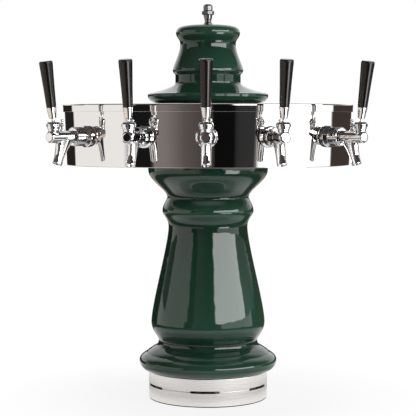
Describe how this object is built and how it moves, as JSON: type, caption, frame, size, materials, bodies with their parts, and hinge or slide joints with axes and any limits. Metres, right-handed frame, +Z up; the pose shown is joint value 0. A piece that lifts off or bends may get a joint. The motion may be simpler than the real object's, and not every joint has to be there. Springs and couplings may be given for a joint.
{
  "type": "beer tower dispenser",
  "caption": "Counter-top draught beer tower: steel base, turned glazed column, wide oval mirror head with levered faucets along the front, and a domed glazed cap.",
  "frame": {"origin": "middle of the base's underside, on the column's axis", "axes": "+Z up the column; the faucets face -Y; +X to the right as the bar tender sees the faucets"},
  "size_m": [0.6522, 0.565, 0.8252],
  "materials": {
    "glaze": "polished",
    "polished_steel": "polished",
    "chrome": "polished",
    "brushed_steel": "satin",
    "steel": "satin",
    "black_plastic": "gloss",
    "rubber": "matte",
    "line_plastic": "satin",
    "foam": "matte"
  },
  "bodies": {
    "tower": {"base_pad": "rubber", "base_plate": "steel", "base_ring": "brushed_steel", "base_sleeve": "brushed_steel", "riser_pipe": "steel", "column_seat_gasket": "rubber", "column_foot": "glaze", "column_belly": "glaze", "column_neck": "glaze", "column_bead": "glaze", "column_flare": "glaze", "column_top_gasket": "rubber", "head_pan": "polished_steel", "head_lid": "polished_steel", "lid_screws": "steel", "pan_bolts": "steel", "pan_nuts": "steel", "foam_liner": "foam", "beer_lines": "line_plastic", "glycol_loop": "line_plastic", "cap_gasket": "rubber", "cap_shell": "glaze", "cap_washer": "rubber", "cap_stud": "steel", "finial": "chrome", "shanks": "chrome", "shank_nuts": "steel", "coupling_nuts": "chrome", "thumb_screws": "chrome", "faucet_body_1": "chrome", "bonnet_1": "chrome", "faucet_body_2": "chrome", "bonnet_2": "chrome", "faucet_body_3": "chrome", "bonnet_3": "chrome", "faucet_body_4": "chrome", "bonnet_4": "chrome", "faucet_body_5": "chrome", "bonnet_5": "chrome"},
    "tap_lever_1": {"lever_1": "chrome", "ferrule_1": "chrome", "handle_1": "black_plastic"},
    "tap_valve_1": {"valve_shaft_1": "steel"},
    "tap_lever_2": {"lever_2": "chrome", "ferrule_2": "chrome", "handle_2": "black_plastic"},
    "tap_valve_2": {"valve_shaft_2": "steel"},
    "tap_lever_3": {"lever_3": "chrome", "ferrule_3": "chrome", "handle_3": "black_plastic"},
    "tap_valve_3": {"valve_shaft_3": "steel"},
    "tap_lever_4": {"lever_4": "chrome", "ferrule_4": "chrome", "handle_4": "black_plastic"},
    "tap_valve_4": {"valve_shaft_4": "steel"},
    "tap_lever_5": {"lever_5": "chrome", "ferrule_5": "chrome", "handle_5": "black_plastic"},
    "tap_valve_5": {"valve_shaft_5": "steel"}
  },
  "joints": [
    {"name": "lever_1_tilt", "type": "hinge", "parent": "tower", "child": "tap_lever_1", "pos_m": [-0.29969, -0.19969, 0.5755], "axis": [0.7071, -0.7071, 0], "range_deg": [0, 28]},
    {"name": "valve_1_slide", "type": "slide", "parent": "tower", "child": "tap_valve_1", "axis": [0.7071, 0.7071, 0], "range_m": [0, 0.0088]},
    {"name": "lever_2_tilt", "type": "hinge", "parent": "tower", "child": "tap_lever_2", "pos_m": [-0.14639, -0.28392, 0.5755], "axis": [0.9583, -0.2857, 0], "range_deg": [0, 28]},
    {"name": "valve_2_slide", "type": "slide", "parent": "tower", "child": "tap_valve_2", "axis": [0.2857, 0.9583, 0], "range_m": [0, 0.0088]},
    {"name": "lever_3_tilt", "type": "hinge", "parent": "tower", "child": "tap_lever_3", "pos_m": [0, -0.30528, 0.5755], "axis": [1, 0, 0], "range_deg": [0, 28]},
    {"name": "valve_3_slide", "type": "slide", "parent": "tower", "child": "tap_valve_3", "axis": [0, 1, 0], "range_m": [0, 0.0088]},
    {"name": "lever_4_tilt", "type": "hinge", "parent": "tower", "child": "tap_lever_4", "pos_m": [0.14639, -0.28392, 0.5755], "axis": [0.9583, 0.2857, 0], "range_deg": [0, 28]},
    {"name": "valve_4_slide", "type": "slide", "parent": "tower", "child": "tap_valve_4", "axis": [-0.2857, 0.9583, 0], "range_m": [0, 0.0088]},
    {"name": "lever_5_tilt", "type": "hinge", "parent": "tower", "child": "tap_lever_5", "pos_m": [0.29969, -0.19969, 0.5755], "axis": [0.7071, 0.7071, 0], "range_deg": [0, 28]},
    {"name": "valve_5_slide", "type": "slide", "parent": "tower", "child": "tap_valve_5", "axis": [-0.7071, 0.7071, 0], "range_m": [0, 0.0088]}
  ],
  "couplings": [
    {"joint": "valve_1_slide", "follows": "lever_1_tilt", "m_per_rad": 0.017821},
    {"joint": "valve_2_slide", "follows": "lever_2_tilt", "m_per_rad": 0.017821},
    {"joint": "valve_3_slide", "follows": "lever_3_tilt", "m_per_rad": 0.017821},
    {"joint": "valve_4_slide", "follows": "lever_4_tilt", "m_per_rad": 0.017821},
    {"joint": "valve_5_slide", "follows": "lever_5_tilt", "m_per_rad": 0.017821}
  ]
}
